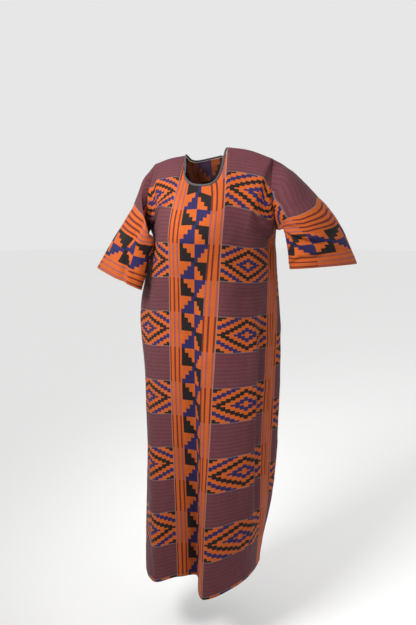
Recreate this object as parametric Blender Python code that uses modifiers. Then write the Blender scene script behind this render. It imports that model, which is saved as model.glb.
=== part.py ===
"""Kitenge dress, worn shape: a straight ankle-length dress with a low round neck and wide set-in sleeves.

The front faces -Y, the wearer's left is +X, up is +Z, and the origin is between the two neck points, where the
shoulders carry it. Five pieces: front, back, two sleeves and the neck binding. Each piece of cloth is an open
surface worked out from the sections and edges below, and Solidify gives it its wall.
"""
import bpy
import numpy as np

# ---- driving sizes, metres ----
WALL = 0.0013                 # cloth wall
BIND_WALL = 0.0015            # neck binding wall
BIND_GAP = 0.0008             # from the neck edge of the panels to the binding, where both slope
SEAM_GAP = 0.00032            # clear space between pieces at a seam
SAME_POINT = 87654.3          # per metre: grid points that round alike at this scale are one point of a seam
BIND_WIDTH = 0.0065           # neck binding, across
BIND_LIFT = 0.0003            # it stands this much proud of the panels
FRONT_HALF = 0.310            # front panel, centre front to side seam
BACK_WIDTH = 0.580            # back panel, seam to seam
ROUND = 2 * FRONT_HALF + BACK_WIDTH
HEM_DOWN = 1.038              # bust line to hem, along the cloth
TURN = np.radians(15.0)       # the sections are measured across a line turned by this from the shoulders
NECK_HIGH = 0.0775            # height of the neck points in the tables
SHIFT = 0.002                 # moves the tables' middle onto the neck's

# ---- how many rows and columns each part of the cloth gets ----
ROWS_SKIRT, ROWS_TOP = 15, 8
COLS_ARM, COLS_SHOULDER, COLS_NECK_FRONT, COLS_NECK_BACK = 9, 4, 16, 8
ROWS_SLEEVE = 10

# where each station sits in the cloth, round from centre front (m)
STATION = dict(side_r=-0.31, turn_r=-0.245, panel_r=-0.175, line_r=-0.08, edge_r=-0.04, centre=0.0, edge_l=0.04,
               line_l=0.08, panel_l=0.175, end_l=0.27, side_l=0.31, turn_l=0.38, back_l=0.47, back_m=0.60, back_r=0.73)

# plan of the skirt at six rows of cloth: (across, deep) in cm of each station; "down" is cloth below the bust line
SECTION = [
    dict(name="bust", down=0.0,
         side_r=(-16.3, 4.0), turn_r=(-16.0, -2.4), panel_r=(-14.6, -8.8), line_r=(-11.0, -16.8), edge_r=(-7.7, -18.9),
         centre=(-3.6, -19.8), edge_l=(0.0, -19.5), line_l=(3.7, -18.6), panel_l=(11.3, -13.8), end_l=(17.3, -6.2),
         side_l=(19.2, -2.8), turn_l=(20.2, 3.5), back_l=(17.5, 10.5), back_m=(6.0, 16.0), back_r=(-7.0, 13.6)),
    dict(name="waist", down=20.6,
         side_r=(-19.2, 7.0), turn_r=(-20.1, 0.0), panel_r=(-16.8, -6.2), line_r=(-11.0, -13.2), edge_r=(-7.5, -14.6),
         centre=(-3.8, -15.0), edge_l=(-1.4, -16.6), line_l=(2.7, -17.8), panel_l=(10.9, -14.4), end_l=(17.0, -6.6),
         side_l=(19.4, -3.4), turn_l=(22.0, 3.0), back_l=(19.0, 10.8), back_m=(8.3, 17.4), back_r=(-6.0, 17.0)),
    dict(name="hip", down=41.2,
         side_r=(-18.9, 8.0), turn_r=(-19.6, 1.0), panel_r=(-16.9, -5.5), line_r=(-10.9, -12.5), edge_r=(-7.4, -13.4),
         centre=(-3.7, -13.2), edge_l=(-2.1, -15.6), line_l=(1.4, -17.2), panel_l=(10.7, -15.8), end_l=(16.4, -8.0),
         side_l=(18.7, -4.5), turn_l=(22.3, 2.5), back_l=(19.8, 10.6), back_m=(8.8, 18.0), back_r=(-6.0, 18.0)),
    dict(name="thigh", down=61.8,
         side_r=(-18.4, 8.5), turn_r=(-18.8, 1.5), panel_r=(-16.8, -6.0), line_r=(-10.3, -11.8), edge_r=(-6.9, -11.7),
         centre=(-3.2, -11.4), edge_l=(-2.3, -14.2), line_l=(0.3, -16.6), panel_l=(10.3, -16.0), end_l=(15.8, -8.0),
         side_l=(18.1, -4.5), turn_l=(21.4, 2.0), back_l=(19.4, 10.5), back_m=(8.5, 18.5), back_r=(-6.0, 18.5)),
    dict(name="knee", down=82.4,
         side_r=(-18.3, 7.5), turn_r=(-19.1, 0.5), panel_r=(-16.7, -7.5), line_r=(-9.8, -10.5), edge_r=(-6.3, -9.8),
         centre=(-3.0, -8.8), edge_l=(-2.6, -12.4), line_l=(-0.8, -15.5), panel_l=(9.4, -15.0), end_l=(15.7, -7.8),
         side_l=(17.5, -4.5), turn_l=(19.8, 2.3), back_l=(17.9, 11.0), back_m=(8.0, 19.5), back_r=(-6.0, 19.0)),
    dict(name="hem", down=103.0,
         side_r=(-18.6, 6.5), turn_r=(-19.4, -0.5), panel_r=(-16.8, -8.5), line_r=(-9.4, -9.0), edge_r=(-6.0, -7.6),
         centre=(-3.2, -6.2), edge_l=(-3.1, -10.0), line_l=(-1.8, -13.4), panel_l=(8.9, -12.5), end_l=(15.0, -5.0),
         side_l=(16.0, -1.5), turn_l=(16.5, 5.5), back_l=(14.9, 14.0), back_m=(6.0, 21.5), back_r=(-7.5, 19.0)),
]
# height (cm) of those six rows under ten of the stations: the cloth is hitched up at some and let down at others
LEVEL = dict(
    side_r=(-17.2, -37.4, -58.0, -78.6, -99.3, -120.7), panel_r=(-17.1, -37.1, -57.8, -78.4, -99.1, -120.3),
    line_r=(-16.5, -36.1, -56.5, -76.6, -97.1, -118.6), centre=(-16.7, -36.6, -57.2, -77.9, -98.7, -119.9),
    edge_l=(-16.8, -36.8, -57.5, -78.5, -100.1, -122.9), line_l=(-17.0, -36.9, -57.5, -78.5, -100.1, -123.4),
    panel_l=(-18.3, -37.7, -57.3, -77.1, -97.7, -119.4), end_l=(-18.8, -38.1, -57.5, -77.1, -97.6, -117.6),
    turn_l=(-18.8, -37.9, -58.2, -78.5, -99.0, -118.8), back_m=(-17.6, -37.8, -58.4, -78.9, -99.5, -120.3))

# top edges of the two panels. Columns: name, s of the column (cm round the cloth), place (across, deep, high) in cm,
# flat place (u, v) in cm on the cut, and the way the cloth runs
# as it arrives there (the longer, the straighter it runs in)
FRONT_TOP = [
    ("under_r",    -31.0, (-16.8,  3.2, -14.0), (-31.0, 6.2),  (-0.05, 0.0, 1.0)),
    ("arm_low_r",  -27.5, (-17.7, -1.6, -10.8), (-25.6, 9.4),  (-0.1, 0.1, 1.0)),
    ("arm_mid_r",  -22.5, (-17.3, -3.4, -4.4),  (-21.0, 17.2), (-0.4, 0.3, 0.8)),
    ("shoulder_r", -16.0, (-15.5,  3.2,  4.8),  (-18.6, 29.5), (-0.1, 0.6, 0.15)),
    ("ridge_r",    -12.8, (-11.1,  2.3,  6.4),  (-13.2, 30.1), (-0.05, 0.55, 0.2)),
    ("neck_r",      -9.6, (-6.7,   1.4,  7.2),  (-7.8, 30.6),  (0.0, 0.5, 0.26)),
    ("neck_q_r",    -6.3, (-6.9,  -6.2,  1.8),  (-6.9, 22.2),  (0.1, 0.6, 0.6)),
    ("neck_c",       0.0, (-2.6, -10.8, -1.5),  (0.0, 16.2),   (0.0, 0.6, 0.7)),
    ("neck_q_l",     6.3, (3.6,   -8.6,  1.8),  (6.9, 22.2),   (-0.1, 0.6, 0.6)),
    ("neck_l",       9.6, (5.6,   -1.4,  9.5),  (7.8, 30.6),   (0.0, 0.5, 0.26)),
    ("ridge_l",     12.8, (11.8,  -2.6,  8.6),  (12.7, 30.1),  (0.05, 0.55, 0.2)),
    ("shoulder_l",  16.0, (18.1,  -3.8,  6.3),  (17.6, 29.5),  (0.1, 0.6, 0.15)),
    ("arm_mid_l",   22.5, (17.8,  -8.8, -3.4),  (20.3, 18.2),  (0.4, 0.3, 0.8)),
    ("arm_low_l",   27.5, (19.0,  -6.8, -11.0), (25.6, 8.8),   (0.1, 0.1, 1.0)),
    ("under_l",     31.0, (19.7,  -3.0, -14.0), (31.0, 6.2),   (0.05, 0.0, 1.0)),
]
BACK_TOP = [
    ("under_l",     31.0, (19.7,  -3.0, -14.0), (31.0, 5.0),   (0.05, 0.0, 1.0)),
    ("arm_low_l",   34.5, (20.1,   1.0, -11.6), (34.6, 6.4),   (0.0, -0.1, 1.0)),
    ("arm_mid_l",   39.5, (19.2,   4.6, -3.0),  (39.0, 13.5),  (0.0, -0.3, 0.8)),
    ("shoulder_l",  46.0, (18.1,  -3.8,  6.3),  (41.4, 23.8),  (0.1, -0.7, 0.10)),
    ("ridge_l",     49.0, (11.8,  -2.6,  8.6),  (46.8, 25.1),  (0.05, -0.7, 0.12)),
    ("neck_l",      52.0, (5.6,   -1.4,  9.5),  (52.2, 26.4),  (0.0, -0.7, 0.15)),
    ("neck_q_l",    55.5, (5.2,    4.6,  7.5),  (54.4, 24.6),  (0.0, -0.7, 0.7)),
    ("neck_b",      60.0, (1.0,    7.0,  6.2),  (60.0, 23.6),  (0.0, -0.6, 0.8)),
    ("neck_q_r",    64.5, (-4.6,   6.2,  5.5),  (65.6, 24.6),  (0.0, -0.7, 0.7)),
    ("neck_r",      68.0, (-6.7,   1.4,  7.2),  (67.8, 26.4),  (0.0, -0.7, 0.15)),
    ("ridge_r",     71.0, (-11.1,  2.3,  6.4),  (73.2, 25.1),  (-0.05, -0.7, 0.12)),
    ("shoulder_r",  74.0, (-15.5,  3.2,  4.8),  (78.6, 23.8),  (-0.1, -0.7, 0.10)),
    ("arm_mid_r",   80.5, (-15.8, 10.2, -4.6),  (81.0, 13.5),  (-0.1, -0.3, 0.8)),
    ("arm_low_r",   85.5, (-16.9,  7.2, -11.4), (85.4, 6.4),   (0.0, -0.1, 1.0)),
    ("under_r",     89.0, (-16.8,  3.2, -14.0), (89.0, 5.0),   (-0.05, 0.0, 1.0)),
]
# sleeve rings after the armhole: part of the way to the hem, then the points under the arm, on top and in front (cm)
SLEEVE_R = [
    dict(along=0.12, under=(-17.6, -0.4, -15.4), top=(-18.0, 3.0, 1.6), front=(-18.5, -5.2, -6.8)),
    dict(along=0.40, under=(-16.1, -5.2, -17.8), top=(-22.3, 1.0, -7.8), front=(-17.9, -9.6, -12.2)),
    dict(along=0.68, under=(-16.5, -6.4, -22.6), top=(-27.3, 0.6, -16.0), front=(-21.6, -9.8, -18.6)),
    dict(along=1.00, under=(-19.1, -7.0, -31.0), top=(-33.3, 3.2, -25.6), front=(-25.7, -8.6, -27.7)),
]
SLEEVE_L = [
    dict(along=0.12, under=(20.4, -4.4, -13.7), top=(22.2, -3.6, 4.0), front=(20.4, -11.0, -4.8)),
    dict(along=0.36, under=(21.4, -7.0, -13.6), top=(30.2, -2.0, -2.9), front=(25.2, -12.2, -7.6)),
    dict(along=0.70, under=(22.5, -9.0, -18.6), top=(38.2, -1.0, -12.4), front=(30.4, -12.6, -14.4)),
    dict(along=1.00, under=(23.2, -10.0, -24.6), top=(43.8, 0.0, -24.1), front=(34.6, -10.6, -23.8)),
]


# ---- the form ----
def curve(knots, rows, x, period=None):
    """Smooth curve that passes through the rows at the knots; with a period it closes on itself."""
    knots, rows, x = np.asarray(knots, float), np.asarray(rows, float), np.asarray(x, float)
    if period:
        knots = np.concatenate([[knots[-1] - period], knots, [knots[0] + period, knots[1] + period]])
        rows = np.concatenate([rows[-1:], rows, rows[:2]])
    step = np.diff(knots).reshape((-1,) + (1,) * (rows.ndim - 1))
    slope = np.diff(rows, axis=0) / step
    tangent = np.empty_like(rows)
    tangent[1:-1] = (slope[:-1] * step[1:] + slope[1:] * step[:-1]) / (step[1:] + step[:-1])
    tangent[0], tangent[-1] = slope[0], slope[-1]
    i = np.clip(np.searchsorted(knots, x, side="right") - 1, 0, len(knots) - 2)
    t = (x - knots[i]) / (knots[i + 1] - knots[i])
    t = t.reshape(t.shape + (1,) * (rows.ndim - 1))
    h = step[i].reshape(t.shape)
    return blend(t, rows[i], rows[i + 1], h * tangent[i], h * tangent[i + 1])


def blend(t, start, end, leave, arrive):
    return ((1 + 2 * t) * (1 - t) ** 2 * start + t * (1 - t) ** 2 * leave
            + t * t * (3 - 2 * t) * end + t * t * (t - 1) * arrive)


def along(knots, rings, x):
    """The same curve for many points at once: rings is (rows, points, 3), x has one value for each point."""
    out = np.empty(rings.shape[1:])
    for value in np.unique(x):
        at = x == value
        out[at] = curve(knots, rings[:, at], np.array([value]))[0]
    return out


def skirt(s, down):
    """Point of the skirt (across, deep, high) for s round the cloth and down the cloth."""
    s, down = np.broadcast_arrays(np.asarray(s, float), np.asarray(down, float))
    shape, s, down = s.shape, s.ravel(), down.ravel()
    s = (s + FRONT_HALF) % ROUND - FRONT_HALF
    names = sorted(LEVEL, key=STATION.get)
    rings = []
    for i, row in enumerate(SECTION):
        plan = curve(list(STATION.values()), np.array([row[n] for n in STATION]) / 100, s, ROUND)
        high = curve([STATION[n] for n in names], np.array([LEVEL[n][i] for n in names]) / 100, s, ROUND)
        rings.append(np.column_stack([plan, high]))
    knots = [row["down"] / 100 for row in SECTION]
    return along(knots, np.array(rings), down).reshape(shape + (3,))


def edge(rows, column, s):
    """Smooth along an edge table between its corners, the shoulder and neck points."""
    knots = np.array([row[1] for row in rows]) / 100
    values = np.array([row[column] for row in rows], float)
    corners = [i for i, row in enumerate(rows) if row[0][:-2] in ("under", "shoulder", "neck") and row[0] != "neck_c"
               and row[0] != "neck_b"]
    out = np.zeros(s.shape + values.shape[1:])
    for a, b in zip(corners[:-1], corners[1:]):
        at = (s >= knots[a] - 1e-9) & (s <= knots[b] + 1e-9)
        out[at] = curve(knots[a:b + 1], values[a:b + 1], s[at])
    return out


def bodice(rows, s, t):
    """Point above the bust line: t is 0 on that line and 1 on the panel's top edge."""
    s, t = np.broadcast_arrays(np.asarray(s, float), np.asarray(t, float))
    end = edge(rows, 2, s) / 100
    lean = curve(np.array([row[1] for row in rows]) / 100, np.array([row[4] for row in rows]), s)
    start = skirt(s, 0.0)
    leave = (start - skirt(s, 0.02)) / 0.02
    span = np.linalg.norm(end - start, axis=-1, keepdims=True)
    return blend(t[..., None], start, end, span * leave, span * lean)


def sleeve(armhole, rows, w):
    """Rings of a sleeve at the ways w, from the armhole's points, which run under the arm, front, top, back."""
    turn = 2 * np.pi * np.arange(len(armhole))[:, None] / len(armhole)
    rings = [armhole]
    for row in rows:
        under, top, front = (np.array(row[k]) / 100 for k in ("under", "top", "front"))
        middle = (under + top) / 2
        rings.append(middle + np.cos(turn) * (under - middle) + np.sin(turn) * (front - middle))
    knots = [0.0] + [row["along"] for row in rows]
    return curve(knots, np.array(rings), np.asarray(w, float))


def place(points):
    """From the tables' (across, deep, high) to the dress's own axes."""
    across, deep, high = points[..., 0] + SHIFT, points[..., 1], points[..., 2]
    return np.stack([across * np.cos(TURN) - deep * np.sin(TURN), across * np.sin(TURN) + deep * np.cos(TURN),
                     high - NECK_HIGH], -1)


# ---- the pieces as grids of points, rows down and columns round ----
def columns(rows, neck_columns):
    """Columns of a panel in each stretch between its corners, so that pieces share their seam points."""
    at = {row[0]: row[1] / 100 for row in rows}
    first, last = rows[0][0][-1], rows[-1][0][-1]
    stops = [("under_" + first, "shoulder_" + first, COLS_ARM), ("shoulder_" + first, "neck_" + first, COLS_SHOULDER),
             ("neck_" + first, "neck_" + last, neck_columns), ("neck_" + last, "shoulder_" + last, COLS_SHOULDER),
             ("shoulder_" + last, "under_" + last, COLS_ARM)]
    parts = [np.linspace(at[a], at[b], n, endpoint=False) for a, b, n in stops]
    return np.concatenate(parts + [[at["under_" + last]]])


def panel(rows, neck_columns):
    s = columns(rows, neck_columns)
    t = np.linspace(1.0, 0.0, ROWS_TOP, endpoint=False)
    down = np.linspace(0.0, HEM_DOWN, ROWS_SKIRT + 1)
    return place(np.concatenate([bodice(rows, s[None], t[:, None]), skirt(s[None], down[:, None])]))


def grids():
    front, back = panel(FRONT_TOP, COLS_NECK_FRONT), panel(BACK_TOP, COLS_NECK_BACK)
    a = COLS_ARM
    f, b = columns(FRONT_TOP, COLS_NECK_FRONT), columns(BACK_TOP, COLS_NECK_BACK)
    one = np.ones(1)
    f_top, b_top = bodice(FRONT_TOP, f, one), bodice(BACK_TOP, b, one)
    hole_r = np.concatenate([f_top[:a], b_top[::-1][a:0:-1]])
    hole_l = np.concatenate([f_top[::-1][:a], b_top[a:0:-1]])
    ways = np.linspace(0.0, 1.0, ROWS_SLEEVE + 1)
    return dict(front=front, back=back, sleeve_right=place(sleeve(hole_r, SLEEVE_R, ways)),
                sleeve_left=place(sleeve(hole_l, SLEEVE_L, ways)))


def grid_normals(grid, closed):
    """Outward normal at each point of a grid whose rows run down."""
    down = np.gradient(grid, axis=0)
    across = (np.roll(grid, -1, 1) - np.roll(grid, 1, 1)) / 2 if closed else np.gradient(grid, axis=1)
    normal = np.cross(down, across)
    length = np.linalg.norm(normal, axis=-1, keepdims=True)
    return normal / np.maximum(length, 1e-12)


def shrink_edges(pieces):
    """Draws each piece back from its neighbours' edges, far enough that the walls stay the gap apart."""
    moved, spots = {}, {}
    for name, (grid, closed) in pieces.items():
        normal = grid_normals(grid, closed)
        moved[name] = grid.copy()
        rows, cols = grid.shape[:2]
        rim = [(0, j, 1, j, (0, (j + 1) % cols), (0, (j - 1) % cols)) for j in range(cols)]
        if not closed:
            rim = rim[1:-1]
            for j, j2 in ((0, 1), (cols - 1, cols - 2)):
                rim += [(i, j, i, j2, (min(i + 1, rows - 1), j), (max(i - 1, 0), j)) for i in range(rows)]
            rim += [(0, 0, 1, 0, (0, 1), (0, 0)), (0, cols - 1, 1, cols - 1, (0, cols - 1), (0, cols - 2))]
        for i, j, i2, j2, after, before in rim:
            seam = grid[after] - grid[before]
            seam /= np.linalg.norm(seam)
            inward = grid[i2, j2] - grid[i, j]
            inward -= inward @ seam * seam
            inward /= np.linalg.norm(inward)
            spots.setdefault(tuple(np.round(grid[i, j] * SAME_POINT)), []).append((name, i, j, inward, normal[i, j]))
    for found in spots.values():
        for name, i, j, inward, normal in found:
            pull = SEAM_GAP / 2
            for other, _, _, theirs, their_normal in found:
                if other != name:
                    fall = max(0.0, -float(normal @ theirs))
                    pull = max(pull, SEAM_GAP / 2 + 2.4 * WALL * fall / max(1.0 + float(normal @ their_normal), 0.5))
            if len({other for other, *_ in found}) > 1 or i == 0:
                moved[name][i, j] += pull * inward
    return moved


# ---- Blender objects ----
def material(name, colour, roughness):
    made = bpy.data.materials.new(name)
    made.use_nodes = True
    shader = made.node_tree.nodes["Principled BSDF"]
    shader.inputs["Base Color"].default_value = (*colour, 1.0)
    shader.inputs["Roughness"].default_value = roughness
    shader.inputs["Metallic"].default_value = 0.0
    return made


def cloth(name, grid, closed, look, collection, wall):
    """Open surface from a grid of points, given its wall by Solidify on the inner side."""
    rows, cols = grid.shape[:2]
    faces = []
    for i in range(rows - 1):
        for j in range(cols if closed else cols - 1):
            k = (j + 1) % cols
            faces.append((i * cols + j, (i + 1) * cols + j, (i + 1) * cols + k, i * cols + k))
    mesh = bpy.data.meshes.new(name)
    mesh.from_pydata([tuple(p) for p in grid.reshape(-1, 3)], [], faces)
    mesh.update()
    mesh.shade_smooth()
    mesh.materials.append(look)
    piece = bpy.data.objects.new(name, mesh)
    collection.objects.link(piece)
    shell = piece.modifiers.new("wall", "SOLIDIFY")
    shell.thickness = wall
    shell.offset = -1.0
    shell.use_even_offset = False
    return piece


def binding_grid(front, back):
    """The binding's surface: a strip that carries the panels' surface on from the neck edge towards the opening."""
    a = COLS_ARM + COLS_SHOULDER
    neck = np.concatenate([front[0][a:-a], back[0][a:-a][1:-1]])
    normal = np.concatenate([grid_normals(front, False)[0][a:-a], grid_normals(back, False)[0][a:-a][1:-1]])
    ends = (0, COLS_NECK_FRONT)
    normal[ends[0]] += grid_normals(back, False)[0][-a - 1]
    normal[ends[1]] += grid_normals(back, False)[0][a]
    for _ in range(2):
        normal = normal + (np.roll(normal, 1, 0) + np.roll(normal, -1, 0)) / 2
        normal /= np.linalg.norm(normal, axis=1, keepdims=True)
    tangent = np.roll(neck, -1, 0) - np.roll(neck, 1, 0)
    tangent /= np.linalg.norm(tangent, axis=1, keepdims=True)
    inward = np.cross(normal, tangent)
    inward *= np.sign((inward * (neck.mean(axis=0) - neck)).sum(1, keepdims=True))
    return np.stack([neck + (BIND_GAP + d) * inward + BIND_LIFT * normal for d in (BIND_WIDTH, 0.0)])


def main():
    for old in list(bpy.data.objects):
        bpy.data.objects.remove(old, do_unlink=True)
    collection = bpy.data.collections.new("kitenge_dress")
    bpy.context.scene.collection.children.link(collection)
    made = grids()
    closed = dict(front=False, back=False, sleeve_right=True, sleeve_left=True)
    made["sleeve_right"] = made["sleeve_right"][:, ::-1]
    pieces = shrink_edges({name: (made[name], closed[name]) for name in closed})
    looks = dict(front=material("printed_cotton_front", (0.36, 0.13, 0.09), 0.85),
                 back=material("printed_cotton_back", (0.36, 0.13, 0.09), 0.85),
                 sleeve_right=material("printed_cotton_sleeve_right", (0.5, 0.17, 0.06), 0.85),
                 sleeve_left=material("printed_cotton_sleeve_left", (0.5, 0.17, 0.06), 0.85),
                 neck_binding=material("binding_tape", (0.04, 0.035, 0.04), 0.8))
    for name, grid in pieces.items():
        cloth(name, grid, closed[name], looks[name], collection, WALL)
    cloth("neck_binding", binding_grid(made["front"], made["back"]), True, looks["neck_binding"], collection, BIND_WALL)


main()
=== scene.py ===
"""Looks of the kitenge dress: the same sections as the solids, sampled finer, with the folds, seams, hems and print."""

import bpy
import numpy as np
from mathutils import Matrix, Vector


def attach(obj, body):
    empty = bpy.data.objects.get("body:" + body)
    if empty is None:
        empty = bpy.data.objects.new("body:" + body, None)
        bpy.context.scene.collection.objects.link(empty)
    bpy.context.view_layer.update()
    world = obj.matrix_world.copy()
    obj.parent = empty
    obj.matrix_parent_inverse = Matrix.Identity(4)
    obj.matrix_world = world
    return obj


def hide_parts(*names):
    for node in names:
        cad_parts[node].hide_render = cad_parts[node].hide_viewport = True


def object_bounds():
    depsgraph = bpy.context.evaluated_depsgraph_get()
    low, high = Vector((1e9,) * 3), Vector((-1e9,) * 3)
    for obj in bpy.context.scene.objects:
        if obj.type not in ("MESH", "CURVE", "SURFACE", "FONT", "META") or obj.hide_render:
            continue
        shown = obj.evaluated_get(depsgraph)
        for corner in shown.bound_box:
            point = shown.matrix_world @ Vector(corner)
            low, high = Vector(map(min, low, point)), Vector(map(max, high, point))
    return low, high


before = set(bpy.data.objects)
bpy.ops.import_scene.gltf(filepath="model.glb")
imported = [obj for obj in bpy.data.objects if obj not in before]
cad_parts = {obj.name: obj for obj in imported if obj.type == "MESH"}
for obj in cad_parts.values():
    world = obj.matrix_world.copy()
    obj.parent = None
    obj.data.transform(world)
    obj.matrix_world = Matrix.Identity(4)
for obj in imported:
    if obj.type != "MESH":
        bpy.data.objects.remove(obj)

CAD_BOX = [[float(x) for x in corner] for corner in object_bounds()]

# ---- driving sizes, metres (the form's are those of the solids) ----
WALL = 0.0007                 # cloth, as drawn
SEAM_GAP = 0.0003
SAME_POINT = 87654.3          # per metre: grid points that round alike at this scale are one point of a seam
BIND_WIDTH, BIND_THICK = 0.0062, 0.0020
FRONT_HALF, BACK_WIDTH = 0.310, 0.580
ROUND = 2 * FRONT_HALF + BACK_WIDTH
HEM_DOWN = 1.038
TURN = np.radians(15.0)
NECK_HIGH, SHIFT = 0.0775, 0.002
BLOCK = 0.103                 # height of one block of the print
BACK_DROP = 0.068             # the back's print sits this much lower than the front's
YOKE_EASE = 0.15              # more cloth lies above the bust than the straight share of the way up

# rows and columns of the fine grids
ROWS_SKIRT, ROWS_TOP, ROWS_SLEEVE = 190, 52, 64
COLS_ARM, COLS_SHOULDER, COLS_NECK_FRONT, COLS_NECK_BACK = 46, 16, 44, 36

# ---- the form's tables, as in the solids ----
STATION = dict(side_r=-0.31, turn_r=-0.245, panel_r=-0.175, line_r=-0.08, edge_r=-0.04, centre=0.0, edge_l=0.04,
               line_l=0.08, panel_l=0.175, end_l=0.27, side_l=0.31, turn_l=0.38, back_l=0.47, back_m=0.60, back_r=0.73)
SECTION = [
    dict(name="bust", down=0.0,
         side_r=(-16.3, 4.0), turn_r=(-16.0, -2.4), panel_r=(-14.6, -8.8), line_r=(-11.0, -16.8), edge_r=(-7.7, -18.9),
         centre=(-3.6, -19.8), edge_l=(0.0, -19.5), line_l=(3.7, -18.6), panel_l=(11.3, -13.8), end_l=(17.3, -6.2),
         side_l=(19.2, -2.8), turn_l=(20.2, 3.5), back_l=(17.5, 10.5), back_m=(6.0, 16.0), back_r=(-7.0, 13.6)),
    dict(name="waist", down=20.6,
         side_r=(-19.2, 7.0), turn_r=(-20.1, 0.0), panel_r=(-16.8, -6.2), line_r=(-11.0, -13.2), edge_r=(-7.5, -14.6),
         centre=(-3.8, -15.0), edge_l=(-1.4, -16.6), line_l=(2.7, -17.8), panel_l=(10.9, -14.4), end_l=(17.0, -6.6),
         side_l=(19.4, -3.4), turn_l=(22.0, 3.0), back_l=(19.0, 10.8), back_m=(8.3, 17.4), back_r=(-6.0, 17.0)),
    dict(name="hip", down=41.2,
         side_r=(-18.9, 8.0), turn_r=(-19.6, 1.0), panel_r=(-16.9, -5.5), line_r=(-10.9, -12.5), edge_r=(-7.4, -13.4),
         centre=(-3.7, -13.2), edge_l=(-2.1, -15.6), line_l=(1.4, -17.2), panel_l=(10.7, -15.8), end_l=(16.4, -8.0),
         side_l=(18.7, -4.5), turn_l=(22.3, 2.5), back_l=(19.8, 10.6), back_m=(8.8, 18.0), back_r=(-6.0, 18.0)),
    dict(name="thigh", down=61.8,
         side_r=(-18.4, 8.5), turn_r=(-18.8, 1.5), panel_r=(-16.8, -6.0), line_r=(-10.3, -11.8), edge_r=(-6.9, -11.7),
         centre=(-3.2, -11.4), edge_l=(-2.3, -14.2), line_l=(0.3, -16.6), panel_l=(10.3, -16.0), end_l=(15.8, -8.0),
         side_l=(18.1, -4.5), turn_l=(21.4, 2.0), back_l=(19.4, 10.5), back_m=(8.5, 18.5), back_r=(-6.0, 18.5)),
    dict(name="knee", down=82.4,
         side_r=(-18.3, 7.5), turn_r=(-19.1, 0.5), panel_r=(-16.7, -7.5), line_r=(-9.8, -10.5), edge_r=(-6.3, -9.8),
         centre=(-3.0, -8.8), edge_l=(-2.6, -12.4), line_l=(-0.8, -15.5), panel_l=(9.4, -15.0), end_l=(15.7, -7.8),
         side_l=(17.5, -4.5), turn_l=(19.8, 2.3), back_l=(17.9, 11.0), back_m=(8.0, 19.5), back_r=(-6.0, 19.0)),
    dict(name="hem", down=103.0,
         side_r=(-18.6, 6.5), turn_r=(-19.4, -0.5), panel_r=(-16.8, -8.5), line_r=(-9.4, -9.0), edge_r=(-6.0, -7.6),
         centre=(-3.2, -6.2), edge_l=(-3.1, -10.0), line_l=(-1.8, -13.4), panel_l=(8.9, -12.5), end_l=(15.0, -5.0),
         side_l=(16.0, -1.5), turn_l=(16.5, 5.5), back_l=(14.9, 14.0), back_m=(6.0, 21.5), back_r=(-7.5, 19.0)),
]
LEVEL = dict(
    side_r=(-17.2, -37.4, -58.0, -78.6, -99.3, -120.7), panel_r=(-17.1, -37.1, -57.8, -78.4, -99.1, -120.3),
    line_r=(-16.5, -36.1, -56.5, -76.6, -97.1, -118.6), centre=(-16.7, -36.6, -57.2, -77.9, -98.7, -119.9),
    edge_l=(-16.8, -36.8, -57.5, -78.5, -100.1, -122.9), line_l=(-17.0, -36.9, -57.5, -78.5, -100.1, -123.4),
    panel_l=(-18.3, -37.7, -57.3, -77.1, -97.7, -119.4), end_l=(-18.8, -38.1, -57.5, -77.1, -97.6, -117.6),
    turn_l=(-18.8, -37.9, -58.2, -78.5, -99.0, -118.8), back_m=(-17.6, -37.8, -58.4, -78.9, -99.5, -120.3))
FRONT_TOP = [
    ("under_r",    -31.0, (-16.8,  3.2, -14.0), (-31.0, 6.2),  (-0.05, 0.0, 1.0)),
    ("arm_low_r",  -27.5, (-17.7, -1.6, -10.8), (-25.6, 9.4),  (-0.1, 0.1, 1.0)),
    ("arm_mid_r",  -22.5, (-17.3, -3.4, -4.4),  (-21.0, 17.2), (-0.4, 0.3, 0.8)),
    ("shoulder_r", -16.0, (-15.5,  3.2,  4.8),  (-18.6, 29.5), (-0.1, 0.6, 0.15)),
    ("ridge_r",    -12.8, (-11.1,  2.3,  6.4),  (-13.2, 30.1), (-0.05, 0.55, 0.2)),
    ("neck_r",      -9.6, (-6.7,   1.4,  7.2),  (-7.8, 30.6),  (0.0, 0.5, 0.26)),
    ("neck_q_r",    -6.3, (-6.9,  -6.2,  1.8),  (-6.9, 22.2),  (0.1, 0.6, 0.6)),
    ("neck_c",       0.0, (-2.6, -10.8, -1.5),  (0.0, 16.2),   (0.0, 0.6, 0.7)),
    ("neck_q_l",     6.3, (3.6,   -8.6,  1.8),  (6.9, 22.2),   (-0.1, 0.6, 0.6)),
    ("neck_l",       9.6, (5.6,   -1.4,  9.5),  (7.8, 30.6),   (0.0, 0.5, 0.26)),
    ("ridge_l",     12.8, (11.8,  -2.6,  8.6),  (12.7, 30.1),  (0.05, 0.55, 0.2)),
    ("shoulder_l",  16.0, (18.1,  -3.8,  6.3),  (17.6, 29.5),  (0.1, 0.6, 0.15)),
    ("arm_mid_l",   22.5, (17.8,  -8.8, -3.4),  (20.3, 18.2),  (0.4, 0.3, 0.8)),
    ("arm_low_l",   27.5, (19.0,  -6.8, -11.0), (25.6, 8.8),   (0.1, 0.1, 1.0)),
    ("under_l",     31.0, (19.7,  -3.0, -14.0), (31.0, 6.2),   (0.05, 0.0, 1.0)),
]
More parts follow.
